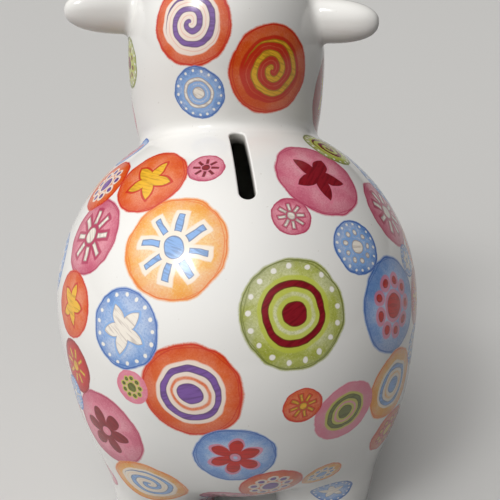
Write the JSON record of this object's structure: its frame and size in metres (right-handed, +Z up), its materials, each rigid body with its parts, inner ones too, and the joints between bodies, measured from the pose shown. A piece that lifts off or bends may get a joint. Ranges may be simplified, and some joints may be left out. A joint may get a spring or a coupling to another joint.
{
  "type": "piggy bank",
  "caption": "Round-bodied glazed porcelain piggy bank standing on stub legs, with a coin slot along the back, a raised head with side ears, and a soft pull-out stopper in the belly.",
  "frame": {"origin": "on the floor, at the middle of the box around the whole bank", "axes": "+Z up; the body faces -Y with the head turned a little to the animal's right; the animal's left side is +X"},
  "size_m": [0.132, 0.1588, 0.2035],
  "materials": {
    "body_glaze": "glossy clear glaze over white porcelain with a colourful print of round motifs",
    "head_glaze": "glossy clear glaze over white porcelain with a colourful print of round motifs",
    "ear_glaze": "glossy clear glaze over plain white porcelain",
    "leg_glaze": "glossy clear glaze over white porcelain, soles wiped bare",
    "stopper_rubber": "matt black moulded rubber"
  },
  "bodies": {
    "bank": {"body_shell": "body_glaze", "head_shell": "head_glaze", "left_ear": "ear_glaze", "right_ear": "ear_glaze", "snout": "head_glaze", "front_left_leg": "leg_glaze", "front_right_leg": "leg_glaze", "hind_left_leg": "leg_glaze", "hind_right_leg": "leg_glaze"},
    "stopper": {"stopper": "stopper_rubber"}
  },
  "joints": [
    {"name": "stopper_pull", "type": "slide", "parent": "bank", "child": "stopper", "axis": [0, 0, -1], "range_m": [0, 0.014]}
  ]
}
